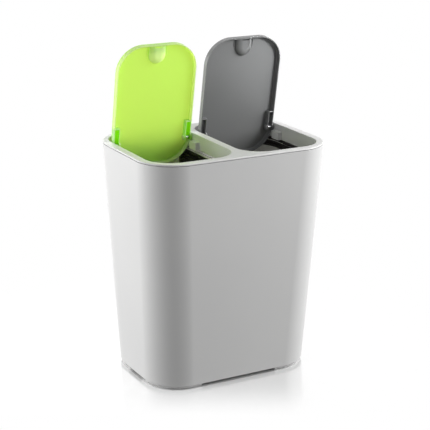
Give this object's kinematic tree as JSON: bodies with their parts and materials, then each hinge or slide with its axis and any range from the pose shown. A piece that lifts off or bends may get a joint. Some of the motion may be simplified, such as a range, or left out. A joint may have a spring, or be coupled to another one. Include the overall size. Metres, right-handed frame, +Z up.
{
  "type": "double recycling bin",
  "caption": "Tapered free-standing bin with a lift-off top frame, swing lids over side-by-side hopper mouths, and inner buckets with bail handles.",
  "frame": {"origin": "centre of the base, on the floor", "axes": "+Z up, front of the bin (the way the raised lids face) towards -Y, +X to the right of a person facing the front"},
  "size_m": [0.385, 0.274, 0.628],
  "materials": {
    "body_plastic": "satin pale grey moulded plastic",
    "frame_plastic": "satin pale grey moulded plastic, a little smoother than the body",
    "green_plastic": "translucent apple-green moulded plastic",
    "grey_plastic": "glossy mid-grey moulded plastic",
    "pin_steel": "drawn steel pin",
    "bucket_plastic": "satin mid-grey moulded plastic",
    "handle_plastic": "black moulded plastic"
  },
  "bodies": {
    "body": {"body_shell": "body_plastic"},
    "frame": {"top_frame": "frame_plastic", "left_lid_outer_pin": "pin_steel", "left_lid_inner_pin": "pin_steel", "right_lid_outer_pin": "pin_steel", "right_lid_inner_pin": "pin_steel"},
    "left_lid": {"left_lid": "green_plastic"},
    "right_lid": {"right_lid": "grey_plastic"},
    "left_bucket": {"left_bucket": "bucket_plastic"},
    "right_bucket": {"right_bucket": "bucket_plastic"},
    "left_bucket_handle": {"left_bucket_handle": "handle_plastic"},
    "right_bucket_handle": {"right_bucket_handle": "handle_plastic"}
  },
  "joints": [
    {"name": "frame_lift", "type": "slide", "parent": "body", "child": "frame", "axis": [0, 0, 1], "range_m": [0, 0.9]},
    {"name": "left_lid_hinge", "type": "hinge", "parent": "frame", "child": "left_lid", "pos_m": [-0.0925, 0.075, 0.4365], "axis": [-1, 0, 0], "range_deg": [-80.4, 0]},
    {"name": "right_lid_hinge", "type": "hinge", "parent": "frame", "child": "right_lid", "pos_m": [0.0925, 0.075, 0.4365], "axis": [-1, 0, 0], "range_deg": [-80.4, 0]},
    {"name": "left_bucket_lift", "type": "slide", "parent": "body", "child": "left_bucket", "axis": [0, 0, 1], "range_m": [0, 0.44]},
    {"name": "right_bucket_lift", "type": "slide", "parent": "body", "child": "right_bucket", "axis": [0, 0, 1], "range_m": [0, 0.44]},
    {"name": "left_handle_swing", "type": "hinge", "parent": "left_bucket", "child": "left_bucket_handle", "pos_m": [-0.09376, 0, 0.4111], "axis": [0, 1, 0], "range_deg": [0, 90]},
    {"name": "right_handle_swing", "type": "hinge", "parent": "right_bucket", "child": "right_bucket_handle", "pos_m": [0.09376, 0, 0.4111], "axis": [0, -1, 0], "range_deg": [0, 90]}
  ],
  "couplings": [
    {"joint": "left_bucket_lift", "follows": "frame_lift", "ratio": 0.488},
    {"joint": "right_bucket_lift", "follows": "frame_lift", "ratio": 0.488},
    {"joint": "left_handle_swing", "follows": "frame_lift", "rad_per_m": 1.74},
    {"joint": "right_handle_swing", "follows": "frame_lift", "rad_per_m": 1.74}
  ]
}
